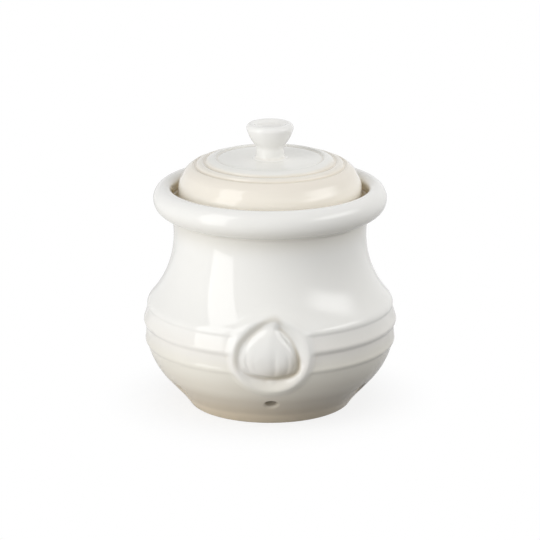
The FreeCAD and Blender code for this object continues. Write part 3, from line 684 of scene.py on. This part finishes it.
def knobOutline():
    # from the middle of its root, up the stem and round the cup's rim to the middle of the hollow
    corners = {
        "rootMiddle": [(0, 0)],
        "root": [(knob["root"], 0), knob["rootFillet"]],
        "stem": [knob["stem"]],
        "stemTop": [(knob["stem"][0], knob["stemTop"]), knob["throat"]],
        "swell": [knob["swell"], knob["cup"]],
        "widest": [knob["widest"], knob["rim"]],
        "ridge": [knob["ridge"], knob["dome"]],
        "lip": [knob["lip"], knob["lipTurn"]],
        "dish": [knob["dish"], knob["hollow"]],
        "floor": [knob["dishFloor"]],
        "floorMiddle": [(0, knob["dishFloor"][1])],
    }
    for name, places in corners.items():
        place, *via = [(radius, discHeight + up) for radius, up in places]
        corners[name] = (*place, *via)
    return Outline(corners, knob["glazeSoftness"])


glazedKnob = makeTurned("glazed_knob", knobOutline(), knob)
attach(glazedKnob, "lid")
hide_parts("knob")
print("knob made:", len(glazedKnob.data.polygons), "faces")


# finishes

class Value:
    # one output of a node, on which Python's operators add Math nodes
    def __init__(self, nodes, socket):
        self.nodes = nodes
        self.socket = socket

    def math(self, operation, first, second):
        return self.nodes.make("ShaderNodeMath", {"operation": operation}, {0: first, 1: second})

    def __add__(self, other):
        return self.math("ADD", self, other)

    def __radd__(self, other):
        return self.math("ADD", other, self)

    def __sub__(self, other):
        return self.math("SUBTRACT", self, other)

    def __rsub__(self, other):
        return self.math("SUBTRACT", other, self)

    def __mul__(self, other):
        return self.math("MULTIPLY", self, other)

    def __rmul__(self, other):
        return self.math("MULTIPLY", other, self)

    def __truediv__(self, other):
        return self.math("DIVIDE", self, other)

    def __rtruediv__(self, other):
        return self.math("DIVIDE", other, self)


class Nodes:
    # the node tree of a material, world or light, whose nodes are all made by one method
    def __init__(self, owner):
        owner.use_nodes = True
        self.tree = owner.node_tree
        self.tree.nodes.clear()

    def make(self, kind, settings=None, inputs=None, output=0):
        # the settings go in first; "stops" are a ramp's places and colours, "blend" the way between them
        node = self.tree.nodes.new(kind)
        for name, setting in (settings or {}).items():
            if name == "stops":
                marks = node.color_ramp.elements
                while len(marks) < len(setting):
                    marks.new(0)
                for mark, (place, colour) in zip(marks, setting):
                    mark.position, mark.color = place, colour
            elif name == "blend":
                node.color_ramp.interpolation = setting
            else:
                setattr(node, name, setting)
        for name, item in (inputs or {}).items():
            if isinstance(item, Value):
                self.tree.links.new(item.socket, node.inputs[name])
            else:
                node.inputs[name].default_value = item
        return Value(self, node.outputs[output]) if node.outputs else None

    def place(self):
        return self.make("ShaderNodeTexCoord", output="Object")

    def part(self, vector, axis):
        return self.make("ShaderNodeSeparateXYZ", None, {0: vector}, axis)

    def noise(self, across, detail):
        # cloudy noise from 0 to 1 whose patches are about this many millimetres across
        inputs = {"Vector": self.place(), "Scale": perMetre / across, "Detail": detail}
        return self.make("ShaderNodeTexNoise", None, inputs, "Fac")

    def mark(self, name):
        return self.make("ShaderNodeAttribute", {"attribute_name": name}, output="Fac")

    def rising(self, value, low, high):
        # 0 to 1, smoothly, as the value goes from low to high
        return self.make("ShaderNodeMapRange", {"interpolation_type": "SMOOTHSTEP"},
                         {"Value": value, "From Min": low, "From Max": high})

    def mixed(self, share, first, second, way="MIX"):
        # colours go through a Mix node: first where share is 0, second laid on it where it is 1
        settings = {"data_type": "RGBA", "blend_type": way}
        return self.make("ShaderNodeMix", settings, {0: share, 6: first, 7: second}, 2)

    def shades(self, value, colours):
        # a ramp through the colours written at these values
        low, high = min(colours), max(colours)
        reach = high - low
        stops = [((place - low) / reach, written(colour)) for place, colour in sorted(colours.items())]
        settings = {"stops": stops, "blend": "EASE"}
        return self.make("ShaderNodeValToRGB", settings, {0: (value - low) / reach})


def written(colour):
    # a colour as screens show it, 0 to 255, made linear
    parts = [part / 255 for part in colour]
    return (*[part / 12.92 if part <= 0.04045 else ((part + 0.055) / 1.055) ** 2.4 for part in parts], 1.0)


glaze = {
    # colours by height above the table
    "shades": {
        # the pot's darker stop at 97, on the top of the neck and under the rim, is painted shade
        "pot": {0: (214, 201, 178), 4: (220, 207, 186), 7: (203, 191, 171), 13: (206, 197, 181),
                21: (222, 216, 203), 31: (230, 226, 215), 42: (237, 234, 228), 55: (239, 238, 234),
                84: (239, 238, 234), 97: (233, 230, 222), 108: (239, 238, 234), 112: (239, 238, 235)},
        # the lid's lightest stops, at 104 and 110 on its side just above the rim, are painted light against
        # the rim's shade
        "lid": {98: (238, 234, 226), 104: (254, 250, 241), 110: (253, 249, 240), 114: (241, 235, 223),
                121: (238, 231, 219), 124: (236, 231, 221), 125: (237, 236, 231)},
        "knob": {125: (240, 239, 235), 144: (242, 241, 238)},
    },
    # noises: millimetres across a patch, and detail
    "cloud": (34, 2.0), "speck": (2.2, 3.0), "ripple": (9, 1.0),
    "cloudLift": 3, "medallionLift": 10,
    "pooled": (226, 216, 196), "pooledBend": (-0.15, -0.9),
    "pooledShare": {"pot": 0.6, "lid": 0.35, "knob": 0.8},
    "thin": (236, 231, 220), "thinBend": (0.35, 1.3), "thinShare": 0.3,
    # seat: a tan colour that paints the shade in the gap under the lid; the next colour paints the shade
    # round the garlic
    "seat": (242, 229, 204), "gathered": (213, 207, 195),
    "roughness": 0.035, "roughnessSpeck": 0.02, "index": 1.52, "rippleDepth": 0.0001, "rippleShare": 0.2,
}
biscuit = {"light": (206, 190, 164), "dark": (177, 163, 141), "grain": (0.5, 4.0), "height": (0.15, 0.5),
           "roughness": 0.75}


def glazeFinish(piece, wiped=False):
    # gloss glaze whose colour follows the height, thicker in the hollows and thinner on the crests
    material = bpy.data.materials.new(piece + "_glaze_finish")
    nodes = Nodes(material)
    height, bend = nodes.part(nodes.place(), "Z") * perMetre, nodes.mark("bend")
    shadedAt = height + glaze["cloudLift"] * (nodes.noise(*glaze["cloud"]) - 0.5)
    if wiped:
        # the fade is sprayed from below and leaves the raised medallion whiter than the belly round it
        shadedAt = shadedAt + glaze["medallionLift"] * nodes.mark("medallion")
    colour = nodes.shades(shadedAt, glaze["shades"][piece])
    pooled = nodes.rising(bend, *glaze["pooledBend"]) * glaze["pooledShare"][piece]
    colour = nodes.mixed(pooled, colour, written(glaze["pooled"]), "MULTIPLY")
    thin = nodes.rising(bend, *glaze["thinBend"]) * glaze["thinShare"]
    colour = nodes.mixed(thin, colour, written(glaze["thin"]), "MULTIPLY")
    roughness = glaze["roughness"] + glaze["roughnessSpeck"] * nodes.noise(*glaze["speck"])
    if wiped:
        # painted shade as a tan colour on the seat, in the gap under the lid, painted shade round the
        # garlic, and no glaze on the ring that stands on the table
        for name in ("seat", "gathered"):
            colour = nodes.mixed(nodes.mark(name), colour, written(glaze[name]), "MULTIPLY")
        bare = 1 - nodes.rising(height, *biscuit["height"])
        grain = nodes.noise(*biscuit["grain"])
        clay = nodes.mixed(grain, written(biscuit["light"]), written(biscuit["dark"]))
        colour = nodes.mixed(bare, colour, clay)
        roughness = roughness + bare * (biscuit["roughness"] - glaze["roughness"])
    bumps = {"Strength": glaze["rippleShare"], "Distance": glaze["rippleDepth"],
             "Height": nodes.noise(*glaze["ripple"])}
    gloss = {"Base Color": colour, "Roughness": roughness, "IOR": glaze["index"],
             "Normal": nodes.make("ShaderNodeBump", None, bumps)}
    shader = nodes.make("ShaderNodeBsdfPrincipled", None, gloss)
    nodes.make("ShaderNodeOutputMaterial", None, {"Surface": shader})
    return material


glazedPot.data.materials.append(glazeFinish("pot", wiped=True))
glazedLid.data.materials.append(glazeFinish("lid"))
glazedKnob.data.materials.append(glazeFinish("knob"))
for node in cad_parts.values():  # the solids behind the three pieces are never left without a finish
    node.data.materials.clear()
    node.data.materials.append(glazedKnob.data.materials[0])
print("finishes made")


# stage, lamps and camera

studio = {
    "table": {"half": 0.26, "back": 1.2, "white": 0.98, "bounce": (1.0, 0.06), "bounceHalf": 0.065,
              "shadowShare": 0.22, "shadowReach": (0.042, 0.09)},
    "ambient": 0.42,
    "lampDistance": 1.3,
    "lamps": {
        "left_softbox": {"azimuth": -57, "width": 29, "low": -24, "high": 53, "radiance": 2.2, "edge": 0.02},
        "left_fill": {"azimuth": -25, "width": 60, "low": -6, "high": 62, "radiance": 0.64, "gloss": False},
        "right_softbox": {"azimuth": 70, "width": 66, "low": 14, "high": 42, "radiance": 3.2, "edge": 0.4},
        "right_fill": {"azimuth": 115, "width": 56, "low": 5, "high": 45, "radiance": 1.25, "gloss": False},
    },
    "camera": {"azimuth": -0.6, "elevation": 16.2, "distance": 1.6, "aim": 0.0672,
               "focal": 3192, "frame": 540, "sensor": 36},
}


def seenDirectly(nodes):
    # 1 for what the camera sees, by itself or in gloss or glass
    camera, gloss, glass = (nodes.make("ShaderNodeLightPath", output=kind)
                            for kind in ("Is Camera Ray", "Is Glossy Ray", "Is Transmission Ray"))
    return nodes.make("ShaderNodeMath", {"operation": "MINIMUM"}, {0: camera + gloss + glass, 1: 1.0})


def makeTable():
    # a white table that shows a share of the object's shadow, and throws less light back on its right
    table = studio["table"]
    half, back = table["half"], table["back"]
    mesh = bpy.data.meshes.new("table_top")
    corners = [(-half, -half, 0), (half, -half, 0), (half, back, 0), (-half, back, 0)]
    mesh.from_pydata(corners, [], [(0, 1, 2, 3)])
    material = bpy.data.materials.new("table_white")
    nodes = Nodes(material)
    left, right, white = ((grey, grey, grey, 1) for grey in (*table["bounce"], table["white"]))
    acrossShare = nodes.rising(nodes.part(nodes.place(), "X"), -table["bounceHalf"], table["bounceHalf"])
    bounce = nodes.mixed(acrossShare, left, right)
    shown = nodes.mixed(seenDirectly(nodes), bounce, white)
    matt = nodes.make("ShaderNodeBsdfDiffuse", None, {"Color": shown})
    glow = nodes.make("ShaderNodeEmission", None, {"Color": (1, 1, 1, 1), "Strength": 1.0})
    away = nodes.make("ShaderNodeVectorMath", {"operation": "LENGTH"}, {0: nodes.place()}, "Value")
    shadowShare = table["shadowShare"] * (1 - nodes.rising(away, *table["shadowReach"]))
    share = nodes.make("ShaderNodeLightPath", output="Is Camera Ray") * (1 - shadowShare)
    surface = nodes.make("ShaderNodeMixShader", None, {0: share, 1: matt, 2: glow})
    nodes.make("ShaderNodeOutputMaterial", None, {"Surface": surface})
    mesh.materials.append(material)
    top = bpy.data.objects.new("table_top", mesh)
    bpy.context.scene.collection.objects.link(top)


def makeWorld():
    # a plain white room that lights the object at the ambient level
    world = bpy.data.worlds.new("white_room")
    nodes = Nodes(world)
    strength = studio["ambient"] + (1 - studio["ambient"]) * seenDirectly(nodes)
    background = nodes.make("ShaderNodeBackground", None, {"Color": (1, 1, 1, 1), "Strength": strength})
    nodes.make("ShaderNodeOutputWorld", None, {"Surface": background})
    bpy.context.scene.world = world


def towards(azimuth, elevation):
    # unit vector out to a place round the object: azimuth 0 is in front, 90 on its right
    turn, rise = math.radians(azimuth), math.radians(elevation)
    return Vector((math.sin(turn) * math.cos(rise), -math.cos(turn) * math.cos(rise), math.sin(rise)))


def placed(name, data, location, out):
    # an object at this place that looks back against the direction out
    item = bpy.data.objects.new(name, data)
    item.location = location
    item.rotation_euler = out.to_track_quat("Z", "Y").to_euler()
    bpy.context.scene.collection.objects.link(item)
    return item


def makeLamp(name, lamp, middle):
    # a flat light that spans the stated angles as seen from the object's middle
    distance = studio["lampDistance"]
    light = bpy.data.lights.new(name, "AREA")
    light.shape = "RECTANGLE"
    light.size = 2 * distance * math.tan(math.radians(lamp["width"] / 2))
    light.size_y = 2 * distance * math.tan(math.radians((lamp["high"] - lamp["low"]) / 2))
    light.energy = lamp["radiance"] * math.pi * light.size * light.size_y
    if "edge" in lamp:
        softEdges(light, lamp["edge"])
    out = towards(lamp["azimuth"], (lamp["low"] + lamp["high"]) / 2)
    box = placed(name, light, middle + out * distance, out)
    box.visible_glossy = lamp.get("gloss", True)


def softEdges(light, edge):
    # the light fades to nothing over this share of its width and height at each side
    nodes = Nodes(light)
    place = nodes.make("ShaderNodeNewGeometry", output="Parametric")
    strength = 1.0
    for side in ("X", "Y"):
        along = nodes.part(place, side)
        strength = nodes.rising(along, 0, edge) * nodes.rising(along, 1, 1 - edge) * strength
    shader = nodes.make("ShaderNodeEmission", None, {"Color": (1, 1, 1, 1), "Strength": strength})
    nodes.make("ShaderNodeOutputLight", None, {"Surface": shader})


def makeCamera():
    # the focal length is in pixels of a square frame of this many
    view = studio["camera"]
    camera = bpy.data.cameras.new("camera")
    camera.sensor_width = view["sensor"]
    camera.lens = view["focal"] * camera.sensor_width / view["frame"]
    out = towards(view["azimuth"], view["elevation"])
    place = Vector((0, 0, view["aim"])) + out * view["distance"]
    bpy.context.scene.camera = placed("camera", camera, place, out)


makeTable()
makeWorld()
for name, lamp in studio["lamps"].items():
    makeLamp(name, lamp, Vector(np.mean(cadBox, axis=0)))
makeCamera()
bpy.context.scene.view_settings.view_transform = "Standard"
print("stage, lamps and camera made")
